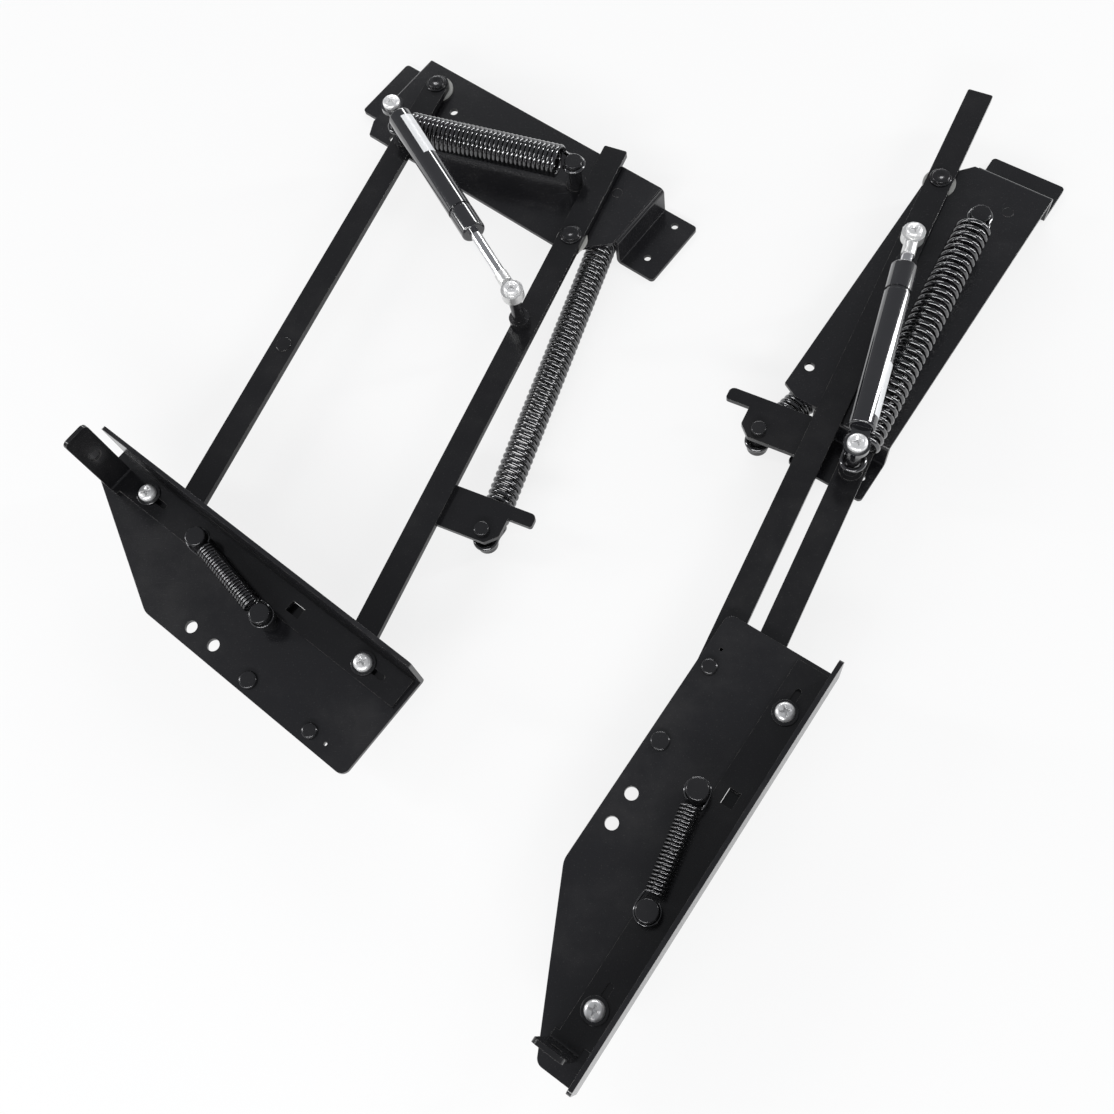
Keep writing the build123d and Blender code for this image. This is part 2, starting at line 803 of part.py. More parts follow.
# Strut, along X from its post, at its own level
def strut_cylinder():
    start, end = strut_cylinder_start, strut_cylinder_end
    lie = Rot(0, 90, 0)
    tube = Pos((start + end) / 2, 0, 0) * lie * Cylinder(strut_cylinder_r, end - start)
    rims = tube.edges().filter_by(GeomType.CIRCLE)
    tube = fillet(rims, 1.5)
    half = strut_blade_thick / 2
    blade = rod(0, 0, strut_blade_r, -half, half)
    side = strut_blade_width / 2
    blade += block((0, start + 1), (-side, side), (-half, half))
    tube += blade
    chamber = strut_cylinder_r - strut_wall
    inner = start + 8
    outer = end - strut_end_thick
    tube -= Pos((inner + outer) / 2, 0, 0) * lie * Cylinder(chamber, outer - inner)
    guide = strut_rod_r + running_gap
    tube -= Pos(outer, 0, 0) * lie * Cylinder(guide, 4 * strut_end_thick)
    ring = Pos(end - strut_crimp_back, 0, 0) * lie * Cylinder(strut_cylinder_r + 1, strut_crimp_wide)
    core = Pos(end - strut_crimp_back, 0, 0) * lie
    core *= Cylinder(strut_cylinder_r - strut_crimp_deep, strut_crimp_wide + 1)
    tube -= ring - core
    return tube - rod(0, 0, strut_screw_r + running_gap, -9, 9)


def strut_rod(reach):
    lie = Rot(0, 90, 0)
    tip = reach - strut_eye_shank_long
    tail = tip - strut_rod_inside
    bar = Pos((tip + tail) / 2, 0, 0) * lie * Cylinder(strut_rod_r, tip - tail)
    piston = Pos(tail + strut_piston_long / 2, 0, 0) * lie
    return bar + piston * Cylinder(strut_cylinder_r - strut_wall - 0.1, strut_piston_long)


def strut_eye(reach):
    lie = Rot(0, 90, 0)
    start = reach - strut_eye_shank_long
    shank = Pos((start + reach) / 2, 0, 0) * lie
    shank *= Cylinder(strut_eye_shank_r, strut_eye_shank_long)
    shank -= block(
        (reach - strut_eye_r - 1, reach + 1),
        (-strut_eye_r, strut_eye_r),
        (strut_eye_top, strut_eye_shank_r + 1),
    )
    eye = shank + rod(reach, 0, strut_eye_r, strut_eye_low, strut_eye_top)
    return eye - rod(reach, 0, strut_screw_r + seat_gap, strut_eye_low - 1, strut_eye_top + 1)


def strut_eye_screw(reach):
    return cross_screw(
        reach,
        0,
        strut_eye_top,
        strut_eye_screw_head_r,
        strut_screw_head_high,
        strut_screw_r,
        strut_eye_low,
    )


# One whole unit at an arm angle
def unit(angle):
    at = joints_at(angle)
    front = Rot(0, 0, angle)
    rear = Pos(*rear_pivot) * Rot(0, 0, angle)
    top = Pos(*at["upper"])
    strut_reach, strut_angle = between(at["post"], at["stud"])
    strut = Pos(*at["post"], strut_level) * Rot(0, 0, strut_angle)
    short_reach, short_angle = between(at["post"], at["short"])
    short = Pos(*at["post"], short_spring_level) * Rot(0, 0, short_angle)
    long_reach, long_angle = between(at["bolt"], at["long"])
    long = Pos(*at["bolt"], long_spring_level) * Rot(0, 0, long_angle)
    latch_reach, latch_angle = between(
        (release_post_x, release_post_y), (anchor_post_x, anchor_post_y)
    )
    latch = Pos(release_post_x, release_post_y, release_spring_level) * Rot(0, 0, latch_angle)
    post_x, post_y = anchor_post_x, anchor_post_y
    springs = {}
    for name, place, reach, eye, outer, wire, curls in (
        ("latch_spring", latch, latch_reach, release_pin_r, release_spring_outer_r,
         release_spring_wire, release_spring_curls),
        ("short_lift_spring", short, short_reach, strut_post_r, short_spring_outer_r,
         short_spring_wire, short_spring_curls),
        ("long_lift_spring", long, long_reach, spring_post_r, long_spring_outer_r,
         long_spring_wire, long_spring_curls),
    ):
        eye_r = eye + spring_eye_gap + wire / 2
        coil_r = outer - wire / 2
        shape = wound_spring(name, reach, eye_r, coil_r, wire, curls, spring_stub)
        springs[name] = [place * shape]
    pieces = {
        "side_plate": [side_plate()],
        "guide_screws": guide_screws(),
        "guide_washers": guide_washers(),
        "latch_bar": [latch_bar()],
        "latch_bar_post": [spring_post(release_post_x, release_post_y, bar_thick, 0)],
        "latch_plate_post": [spring_post(post_x, post_y, 0, plate_under)],
        "lower_pivot_pins": lower_pins(),
        "lower_pivot_washers": lower_washers(),
        "stop_rivet": [stop_rivet()],
        "front_arm": [front * front_arm()],
        "strut_post": [front * strut_post()],
        "strut_post_screw": [front * strut_post_screw()],
        "rear_arm": [rear * rear_arm()],
        "spring_plate": [rear * spring_plate()],
        "long_spring_bolt": [rear * long_spring_bolt()],
        "strut_stud": [rear * strut_stud()],
        "top_bracket": [top * top_bracket()],
        "top_pivot_bolts": [top * piece for piece in top_bolts()],
        "top_pivot_washers": [top * piece for piece in top_washers()],
        "short_spring_post": [top * short_spring_post()],
        "long_spring_post": [top * long_spring_post()],
        "short_spring_pin": [Pos(*at["short"]) * short_spring_pin()],
        "long_spring_pin": [Pos(*at["long"]) * long_spring_pin()],
        "strut_cylinder": [strut * strut_cylinder()],
        "strut_rod": [strut * strut_rod(strut_reach)],
        "strut_eye": [strut * strut_eye(strut_reach)],
        "strut_eye_screw": [strut * strut_eye_screw(strut_reach)],
    }
    pieces.update(springs)
    return pieces


def solids_of(shapes):
    return [solid for shape in shapes for solid in shape.solids()]


row = {}
for side, spot, turn, angle in (
    ("left", left_place, left_turn, left_arm_angle),
    ("right", right_place, right_turn, right_arm_angle),
):
    place = Pos(*spot) * Rot(0, 0, turn)
    for name, shapes in unit(angle).items():
        solids = solids_of(shapes)
        if side == "right":
            solids = [mirror(solid, about=Plane.XZ) for solid in solids]
        row[f"{side}_{name}"] = [place * solid for solid in solids]

# The origin is the middle of the pair's base
boxes = [solid.bounding_box() for solids in row.values() for solid in solids]
low = [min(box.min.X for box in boxes), min(box.min.Y for box in boxes)]
low.append(min(box.min.Z for box in boxes))
high = [max(box.max.X for box in boxes), max(box.max.Y for box in boxes)]
shift = (-(low[0] + high[0]) / 2, -(low[1] + high[1]) / 2, -low[2])
print("shift", [round(value, 4) for value in shift])

for name, solids in row.items():
    moved = [Pos(*shift) * solid for solid in solids]
    whole = moved[0] if len(moved) == 1 else Compound(children=moved)
    export_step(whole, f"parts/{name}.step")
    print(name, len(moved), round(sum(solid.volume for solid in moved), 1))
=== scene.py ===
# %% [markdown]
# # A pair of lift mechanisms for a table top
#
# Two pressed-steel parallelogram arms carry a table top up and towards the person
# who sits at it. Each has a side plate, two arms, a top bracket, two lift springs,
# a damping strut and a sprung release bar. The left one lies open, the right one
# folded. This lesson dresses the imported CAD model: the CAD gives every place, and
# Blender adds wire, screw recesses, a label and finishes.

# %% Load the frame
import json
import math
import bmesh
import bpy
from mathutils import Matrix, Vector


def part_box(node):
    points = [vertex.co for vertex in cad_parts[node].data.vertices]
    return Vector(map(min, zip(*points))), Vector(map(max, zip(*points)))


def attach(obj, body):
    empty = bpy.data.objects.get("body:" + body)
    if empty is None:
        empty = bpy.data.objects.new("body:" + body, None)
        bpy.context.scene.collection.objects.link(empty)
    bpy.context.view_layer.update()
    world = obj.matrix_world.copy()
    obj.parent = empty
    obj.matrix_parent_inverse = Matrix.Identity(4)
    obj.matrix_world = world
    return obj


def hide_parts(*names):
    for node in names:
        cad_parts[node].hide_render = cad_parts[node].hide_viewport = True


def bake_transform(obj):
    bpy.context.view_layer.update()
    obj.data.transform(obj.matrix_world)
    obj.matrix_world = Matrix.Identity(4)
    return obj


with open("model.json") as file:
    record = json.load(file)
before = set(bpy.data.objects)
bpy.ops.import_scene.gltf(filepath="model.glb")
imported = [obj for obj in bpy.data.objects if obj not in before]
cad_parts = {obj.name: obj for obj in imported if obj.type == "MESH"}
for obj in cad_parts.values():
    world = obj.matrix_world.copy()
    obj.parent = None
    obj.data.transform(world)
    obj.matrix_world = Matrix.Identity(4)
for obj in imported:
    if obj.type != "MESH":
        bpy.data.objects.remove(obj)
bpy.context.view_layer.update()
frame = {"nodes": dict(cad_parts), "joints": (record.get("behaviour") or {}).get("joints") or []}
nodes = frame["nodes"]
joints = {joint["name"]: joint for joint in frame["joints"]}
mm = 0.001
sides = ("left", "right")
plate_body = {"left": "left_side_plate", "right": "base"}
arm_body = {"left": "base", "right": "right_front_arm"}

# %% [markdown]
# ## The two units' own axes
#
# Both units are built the same way and one is mirrored, so each gets a matrix that
# takes its own millimetre drawing to the shared frame. Its origin is the front
# arm's lower pivot at the top of the side plate, X runs along the flange, and Y
# points to the arms. The joints already hold all of it, so nothing is measured twice.

# %% A matrix for each unit
sheet = 3.0


def unit_matrix(side):
    along = Vector(joints[f"{side}_release"]["axis"]).normalized()
    up = Vector((0, 0, 1))
    across = up.cross(along)
    if side == "right":
        across = -across
    pivot = Vector(joints[f"{side}_lift"]["pos_m"])
    low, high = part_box(f"{side}_side_plate")
    pivot.z = low.z + sheet * mm
    basis = Matrix((along, across, up)).transposed().to_4x4()
    return Matrix.Translation(pivot) @ basis @ Matrix.Scale(mm, 4)


units = {side: unit_matrix(side) for side in sides}
for side in sides:
    print(side, "unit origin", [round(value, 4) for value in units[side].translation])


def middle(node):
    low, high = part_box(node)
    return (low + high) / 2


# %% [markdown]
# ## The camera
#
# The photograph was taken from above with the lens tilted about 23 degrees from
# straight down, so plates that stand up show their inner faces and things further
# off look smaller. The tilt, its direction on the picture and the distance came
# from the known shapes of the two plates, and they are kept as three plain angles
# and a point instead of a pasted matrix.

# %% Place the camera
photo_side = 1114
focal_pixels = 1200.0
tilt = math.radians(22.632)
tilt_direction = math.radians(72.479)
eye = Vector((72.743, -363.674, 777.40)) * mm


def photo_camera():
    axis = Vector((-math.sin(tilt_direction), math.cos(tilt_direction), 0))
    turn = Matrix.Rotation(tilt, 3, axis)
    looking = turn @ Matrix(((1, 0, 0), (0, -1, 0), (0, 0, -1)))
    right, down, ahead = looking[0], looking[1], looking[2]
    lens = bpy.data.cameras.new("camera")
    lens.sensor_width = 36
    lens.lens = 36 * focal_pixels / photo_side
    lens.clip_start = 0.01
    holder = bpy.data.objects.new("camera", lens)
    holder.matrix_world = Matrix.Translation(eye) @ Matrix((right, -down, -ahead)).transposed().to_4x4()
    bpy.context.scene.collection.objects.link(holder)
    bpy.context.scene.camera = holder
    return ahead


ahead = photo_camera()
print("camera looks along", [round(value, 3) for value in ahead])

# %% [markdown]
# ## Small helpers for materials
#
# Every finish is a node tree. A short helper adds a node and fills its sockets by
# name, which keeps each material readable as a list of decisions. Effects that
# several finishes share are node groups with named inputs and outputs.

# %% Node helpers
def add(tree, kind, **values):
    node = tree.nodes.new(kind)
    for name, value in values.items():
        if name in node.inputs:
            node.inputs[name].default_value = value
        else:
            setattr(node, name, value)
    return node


def join(tree, source, target):
    tree.links.new(source, target)


def group(name, inputs, outputs):
    tree = bpy.data.node_groups.new(name, "ShaderNodeTree")
    for label, kind, value in inputs:
        socket = tree.interface.new_socket(label, in_out="INPUT", socket_type=kind)
        if value is not None:
            socket.default_value = value
    for label, kind in outputs:
        tree.interface.new_socket(label, in_out="OUTPUT", socket_type=kind)
    return tree, tree.nodes.new("NodeGroupInput"), tree.nodes.new("NodeGroupOutput")


def math_node(tree, operation, a, b=None):
    node = tree.nodes.new("ShaderNodeMath")
    node.operation = operation
    for slot, value in enumerate((a, b)):
        if value is None:
            continue
        if isinstance(value, (int, float)):
            node.inputs[slot].default_value = value
        else:
            join(tree, value, node.inputs[slot])
    return node.outputs[0]


def ramp(tree, value, low, high):
    node = tree.nodes.new("ShaderNodeMapRange")
    node.interpolation_type = "SMOOTHSTEP"
    node.inputs["From Min"].default_value = low
    node.inputs["From Max"].default_value = high
    join(tree, value, node.inputs["Value"])
    return node.outputs["Result"]


# %% [markdown]
# ## Shared effects
#
# Four things make painted steel look real. Paint pulls into a faint orange peel.
# Handling leaves fine scratches. Dust settles in patches. Edges rub until the coat is thin, and their
# lighter colour is also a painted highlight along every sharp edge. Each is one group, and each finish
# gives it its own strength.

# %% Orange peel, scratches, dust, and rubbed edges with a painted highlight
def orange_peel_group():
    tree, given, out = group(
        "orange_peel",
        [("Scale", "NodeSocketFloat", 400.0), ("Waviness", "NodeSocketFloat", 0.4)],
        [("Height", "NodeSocketFloat")],
    )
    place = add(tree, "ShaderNodeTexCoord")
    fine = add(tree, "ShaderNodeTexNoise", Detail=3.0, Roughness=0.55)
    join(tree, place.outputs["Object"], fine.inputs["Vector"])
    join(tree, given.outputs["Scale"], fine.inputs["Scale"])
    broad = add(tree, "ShaderNodeTexNoise", Scale=38.0, Detail=2.0)
    join(tree, place.outputs["Object"], broad.inputs["Vector"])
    wave = math_node(tree, "MULTIPLY", broad.outputs["Fac"], given.outputs["Waviness"])
    join(tree, math_node(tree, "ADD", fine.outputs["Fac"], wave), out.inputs["Height"])
    return tree


def scratch_group():
    tree, given, out = group(
        "fine_scratches",
        [("Amount", "NodeSocketFloat", 0.3)],
        [("Mask", "NodeSocketFloat")],
    )
    place = add(tree, "ShaderNodeTexCoord")
    masks = []
    for angle, scale in ((0.5, 60.0), (1.9, 85.0)):
        turn = add(tree, "ShaderNodeMapping")
        turn.inputs["Rotation"].default_value = (0, 0, angle)
        turn.inputs["Scale"].default_value = (1.0, 22.0, 1.0)
        join(tree, place.outputs["Object"], turn.inputs["Vector"])
        hair = add(tree, "ShaderNodeTexNoise", Scale=scale, Detail=2.0, Roughness=0.7)
        join(tree, turn.outputs["Vector"], hair.inputs["Vector"])
        masks.append(ramp(tree, hair.outputs["Fac"], 0.66, 0.74))
    both = math_node(tree, "MAXIMUM", masks[0], masks[1])
    join(tree, math_node(tree, "MULTIPLY", both, given.outputs["Amount"]), out.inputs["Mask"])
    return tree


def dust_group():
    tree, given, out = group(
        "settled_dust",
        [("Amount", "NodeSocketFloat", 0.3)],
        [("Mask", "NodeSocketFloat")],
    )
    place = add(tree, "ShaderNodeTexCoord")
    patch = add(tree, "ShaderNodeTexNoise", Scale=16.0, Detail=5.0, Roughness=0.65)
    speck = add(tree, "ShaderNodeTexNoise", Scale=900.0, Detail=1.0)
    for noise in (patch, speck):
        join(tree, place.outputs["Object"], noise.inputs["Vector"])
    soft = ramp(tree, patch.outputs["Fac"], 0.42, 0.78)
    dots = ramp(tree, speck.outputs["Fac"], 0.66, 0.74)
    halves = [math_node(tree, "MULTIPLY", mask, 0.5) for mask in (soft, dots)]
    both = math_node(tree, "ADD", halves[0], halves[1])
    join(tree, math_node(tree, "MULTIPLY", both, given.outputs["Amount"]), out.inputs["Mask"])
    return tree


# Sharp edges, broken into patches: the mask for rubbed paint and also for a painted highlight along the
# edges.
def edge_wear_and_highlight_group():
    tree, given, out = group(
        "rubbed_edges",
        [("Sharpness", "NodeSocketFloat", 1.0), ("Amount", "NodeSocketFloat", 0.5)],
        [("Mask", "NodeSocketFloat")],
    )
    place = add(tree, "ShaderNodeTexCoord")
    break_up = add(tree, "ShaderNodeTexNoise", Scale=140.0, Detail=4.0, Roughness=0.6)
    join(tree, place.outputs["Object"], break_up.inputs["Vector"])
    bent = math_node(tree, "SUBTRACT", 1.0, given.outputs["Sharpness"])
    edge_wear_and_highlight = ramp(tree, bent, 0.02, 0.16)
    rubbed_and_lit = ramp(tree, break_up.outputs["Fac"], 0.35, 0.7)
    both = math_node(tree, "MULTIPLY", edge_wear_and_highlight, rubbed_and_lit)
    join(tree, math_node(tree, "MULTIPLY", both, given.outputs["Amount"]), out.inputs["Mask"])
    return tree


effects = {
    "peel": orange_peel_group(),
    "scratch": scratch_group(),
    "dust": dust_group(),
    "edge_wear_and_highlight": edge_wear_and_highlight_group(),
}
print("effects:", ", ".join(tree.name for tree in effects.values()))


# %% Painted, plated and plain finishes from the same parts
def effect(tree, name, **values):
    node = tree.nodes.new("ShaderNodeGroup")
    node.node_tree = effects[name]
    for label, value in values.items():
        node.inputs[label].default_value = value
    return node


def mixed(tree, mask, first, second):
    node = tree.nodes.new("ShaderNodeMix")
    node.data_type = "RGBA"
    join(tree, mask, node.inputs[0])
    for slot, value in ((6, first), (7, second)):
        if isinstance(value, tuple):
            node.inputs[slot].default_value = (*value, 1)
        else:
            join(tree, value, node.inputs[slot])
    return node.outputs[2]


def finish_material(name, colour, rubbed_and_lit, gloss, metal=0.0, coat=0.0, peel=(400.0, 0.4), bump=0.05,
                    edge_wear_and_highlight=0.4, scratch=0.3, dust=0.2, dusty=(0.16, 0.155, 0.15), edge_round=0.4,
                    shine=0.5, coat_depth=1.5, coat_rough=0.06):
    """Paint or plating: its colour, the colour of rubbed edges, which also paints a highlight along them,
    and its gloss range.
    """
    material = bpy.data.materials.new(name)
    material.use_nodes = True
    tree = material.node_tree
    shader = tree.nodes["Principled BSDF"]
    shader.inputs["Metallic"].default_value = metal
    shader.inputs["Coat Weight"].default_value = coat
    shader.inputs["Coat Roughness"].default_value = coat_rough
    shader.inputs["Coat IOR"].default_value = coat_depth
    shader.inputs["Specular IOR Level"].default_value = shine
    round_edge = add(tree, "ShaderNodeBevel", samples=6)
    round_edge.inputs["Radius"].default_value = edge_round * mm
    flat = add(tree, "ShaderNodeNewGeometry")
    facing = tree.nodes.new("ShaderNodeVectorMath")
    facing.operation = "DOT_PRODUCT"
    join(tree, round_edge.outputs["Normal"], facing.inputs[0])
    join(tree, flat.outputs["Normal"], facing.inputs[1])
    rub_and_highlight = effect(tree, "edge_wear_and_highlight", Amount=edge_wear_and_highlight)
    join(tree, facing.outputs["Value"], rub_and_highlight.inputs["Sharpness"])
    hair = effect(tree, "scratch", Amount=scratch)
    film = effect(tree, "dust", Amount=dust)
    skin = effect(tree, "peel", Scale=peel[0], Waviness=peel[1])
    # Rubbed edges take the second colour: partly wear, partly a painted highlight.
    base = mixed(tree, rub_and_highlight.outputs["Mask"], colour, rubbed_and_lit)
    base = mixed(tree, film.outputs["Mask"], base, dusty)
    join(tree, base, shader.inputs["Base Color"])
    rough = math_node(tree, "ADD", math_node(tree, "MULTIPLY", film.outputs["Mask"], 0.5), gloss[0])
    dulled = math_node(tree, "MULTIPLY", hair.outputs["Mask"], gloss[1] - gloss[0])
    rough = math_node(tree, "ADD", rough, dulled)
    rough = math_node(tree, "ADD", rough, math_node(tree, "MULTIPLY", rub_and_highlight.outputs["Mask"], 0.15))
    join(tree, rough, shader.inputs["Roughness"])
    height = math_node(tree, "SUBTRACT", skin.outputs["Height"], hair.outputs["Mask"])
    dent = add(tree, "ShaderNodeBump", Strength=bump, Distance=0.1 * mm)
    join(tree, height, dent.inputs["Height"])
    join(tree, round_edge.outputs["Normal"], dent.inputs["Normal"])
    join(tree, dent.outputs["Normal"], shader.inputs["Normal"])
    return material


# %% [markdown]
# ## The finishes
#
# The sheet parts are pressed steel with a glossy black dip coat. The bars are the
# same coat on rolled flats, so they are a little smoother. Springs are wound from
# coated wire with a bright line along every turn. Screws and the strut's eye are
# bright zinc, the rod is ground and plated, and the large washers are pale nylon.

# %% Make the finishes
# The second colour of each finish marks rubbed edges; on the black parts it is light and also stands in as
# a painted highlight along sharp edges.
black_sheet = finish_material("black_sheet", (0.009, 0.009, 0.0105), (0.16, 0.15, 0.14), (0.2, 0.42),
                              coat=0.3, peel=(520.0, 0.7), bump=0.05, edge_wear_and_highlight=0.75, scratch=0.4, dust=0.16,
                              edge_round=0.5, shine=0.4, coat_rough=0.2)
black_bar = finish_material("black_bar", (0.008, 0.008, 0.009), (0.18, 0.17, 0.16), (0.16, 0.36),
                            coat=0.3, peel=(300.0, 0.9), bump=0.04, edge_wear_and_highlight=0.8, scratch=0.45, dust=0.12,
                            edge_round=0.5, shine=0.3, coat_rough=0.2)
spring_coat = finish_material("spring_coat", (0.045, 0.045, 0.048), (0.2, 0.2, 0.2), (0.15, 0.26),
                              metal=0.9, coat=1.0, peel=(900.0, 0.2), bump=0.01, edge_wear_and_highlight=0.1, scratch=0.05,
                              dust=0.02, edge_round=0.1, coat_depth=1.8)
black_fastener = finish_material("black_fastener", (0.024, 0.024, 0.026), (0.22, 0.21, 0.20), (0.24, 0.45),
                                 metal=0.6, coat=0.4, peel=(1400.0, 0.3), bump=0.12, edge_wear_and_highlight=0.9, scratch=0.4,
                                 dust=0.15, edge_round=0.35)
bright_zinc = finish_material("bright_zinc", (0.93, 0.93, 0.93), (0.7, 0.68, 0.64), (0.36, 0.5),
                              metal=0.65, peel=(1200.0, 0.3), bump=0.08, edge_wear_and_highlight=0.35, scratch=0.3, dust=0.1,
                              edge_round=0.2)
satin_zinc = finish_material("satin_zinc", (0.84, 0.84, 0.83), (0.9, 0.9, 0.88), (0.34, 0.5),
                             metal=0.85, peel=(1600.0, 0.3), bump=0.25, edge_wear_and_highlight=0.5, scratch=0.3, dust=0.15,
                             edge_round=0.3)
rod_chrome = finish_material("rod_chrome", (0.82, 0.82, 0.83), (0.7, 0.7, 0.7), (0.09, 0.2),
                             metal=1.0, peel=(700.0, 0.1), bump=0.03, edge_wear_and_highlight=0.2, scratch=0.25, dust=0.06,
                             edge_round=0.2)
tube_paint = finish_material("tube_paint", (0.006, 0.006, 0.008), (0.12, 0.12, 0.12), (0.1, 0.25),
                             coat=1.0, peel=(260.0, 0.6), bump=0.03, edge_wear_and_highlight=0.5, scratch=0.25, dust=0.08,
                             coat_depth=1.8)
pale_nylon = finish_material("pale_nylon", (0.42, 0.42, 0.40), (0.5, 0.5, 0.48), (0.38, 0.5),
                             peel=(800.0, 0.5), bump=0.08, edge_wear_and_highlight=0.3, scratch=0.2, dust=0.25)
print("materials:", len(bpy.data.materials))

# %% [markdown]
# ## Dress the CAD nodes
#
# Plates, arms and posts keep their CAD shape, which holds every hole and bend. They only change finish. The
# Bevel shader rounds their edges in the light, so a sharp CAD edge catches a thin highlight as a pressed
# one does. The lighter colour of rubbed edges adds a painted highlight along the same edges.

# %% Give each CAD node its finish
node_finish = {
    "side_plate": black_sheet,
    "top_bracket": black_sheet,
    "latch_bar": black_bar,
    "front_arm": black_bar,
    "rear_arm": black_bar,
    "spring_plate": black_bar,
    "strut_cylinder": tube_paint,
    "strut_rod": rod_chrome,
    "strut_eye": satin_zinc,
    "top_pivot_washers": pale_nylon,
    "guide_screws": bright_zinc,
    "strut_post_screw": bright_zinc,
    "strut_eye_screw": bright_zinc,
}
for name, node in nodes.items():
    finish = node_finish.get(name.split("_", 1)[1], black_fastener)
    if name.endswith("_spring"):
        finish = spring_coat
    node.data.materials.clear()
    node.data.materials.append(finish)
print("dressed", len(nodes), "nodes")

# %% [markdown]
# ## A tube along a path, with Geometry Nodes
#
# A spring is one length of wire, so it is a curve with a round profile. The tree takes the wire's radius
# and the number of sides as named inputs, sweeps the profile, closes the ends and gives it its finish. The
# same tree winds all six springs, and its result becomes plain mesh.

# %% Build the wire tree
def wire_tree():
    tree = bpy.data.node_groups.new("wire_on_a_path", "GeometryNodeTree")
    face = tree.interface
    face.new_socket("Path", in_out="INPUT", socket_type="NodeSocketGeometry")
    face.new_socket("Wire radius", in_out="INPUT", socket_type="NodeSocketFloat")
    face.new_socket("Sides", in_out="INPUT", socket_type="NodeSocketInt")
    face.new_socket("Finish", in_out="INPUT", socket_type="NodeSocketMaterial")
    face.new_socket("Wire", in_out="OUTPUT", socket_type="NodeSocketGeometry")
    given = tree.nodes.new("NodeGroupInput")
    out = tree.nodes.new("NodeGroupOutput")
    ring = tree.nodes.new("GeometryNodeCurvePrimitiveCircle")
    sweep = tree.nodes.new("GeometryNodeCurveToMesh")
    smooth = tree.nodes.new("GeometryNodeSetShadeSmooth")
    real = tree.nodes.new("GeometryNodeRealizeInstances")
    coat = tree.nodes.new("GeometryNodeSetMaterial")
    sweep.inputs["Fill Caps"].default_value = True
    join(tree, given.outputs["Sides"], ring.inputs["Resolution"])
    join(tree, given.outputs["Wire radius"], ring.inputs["Radius"])
    join(tree, given.outputs["Path"], sweep.inputs["Curve"])
    join(tree, ring.outputs["Curve"], sweep.inputs["Profile Curve"])
    join(tree, sweep.outputs["Mesh"], smooth.inputs["Geometry"])
    join(tree, smooth.outputs["Geometry"], real.inputs["Geometry"])
    join(tree, real.outputs["Geometry"], coat.inputs["Geometry"])
    join(tree, given.outputs["Finish"], coat.inputs["Material"])
    join(tree, coat.outputs["Geometry"], out.inputs["Wire"])
    return tree


def set_inputs(modifier, **values):
    """Fills a Geometry Nodes modifier by each socket's identifier."""
    for item in modifier.node_group.interface.items_tree:
        label = item.name.replace(" ", "_").lower()
        if item.in_out == "INPUT" and label in values:
            modifier[item.identifier] = values[label]


def frozen(maker, name):
    """The evaluated result as a plain mesh object; the maker is removed."""
    bpy.context.view_layer.update()
    graph = bpy.context.evaluated_depsgraph_get()
    mesh = bpy.data.meshes.new_from_object(maker.evaluated_get(graph), depsgraph=graph)
    mesh.name = name
    bpy.data.objects.remove(maker)
    piece = bpy.data.objects.new(name, mesh)
    bpy.context.scene.collection.objects.link(piece)
    return piece


wire_nodes = wire_tree()
print("tree:", wire_nodes.name)

# %% [markdown]
# ## The route of a spring's wire
#
# Each end makes an open eye round its post, runs straight for a moment, and then
# swings up into the first turn. The eye lies flat and the coil stands round the
# spring's own axis, so a cubic joins the two headings. The far end is the near end
# turned half way round.

# %% Points along the wire
spring_start_gap = 1.2
eye_opening = math.radians(28)
eye_steps = 30


def cubic(p, u, q, v, steps):
    """Points from p leaving along u to q arriving along v."""
    reach = (q - p).length
    a, b = p + u * reach * 0.38, q - v * reach * 0.38
    points = []
    for i in range(1, steps):
        t = i / steps
        s = 1 - t
        points.append(s ** 3 * p + 3 * s * s * t * a + 3 * s * t * t * b + t ** 3 * q)
    return points


def wire_route(length, eye_radius, coil_radius, wire, turns, steps=26):
    near = eye_radius + wire + spring_start_gap
    pitch = (length - 2 * near) / (turns + 0.5)
    end = []
    for i in range(eye_steps + 1):
        a = eye_opening + (math.radians(270) - eye_opening) * i / eye_steps
        end.append(Vector((eye_radius * math.cos(a), eye_radius * math.sin(a), 0)))
    leave = Vector((eye_radius / 4, -eye_radius, 0))
    end.append(leave)
    first = Vector((near, -coil_radius, 0))
    rise = Vector((pitch / math.tau, 0, coil_radius)).normalized()
    end += cubic(leave, Vector((1, 0, 0)), first, rise, 10)
    coil = []
    count = int((turns + 0.5) * steps)
    for i in range(count + 1):
        a = (turns + 0.5) * math.tau * i / count
        x = near + pitch * a / math.tau
        coil.append(Vector((x, -coil_radius * math.cos(a), coil_radius * math.sin(a))))
    other = [Vector((length - p.x, -p.y, p.z)) for p in reversed(end)]
    return end + coil + other, pitch


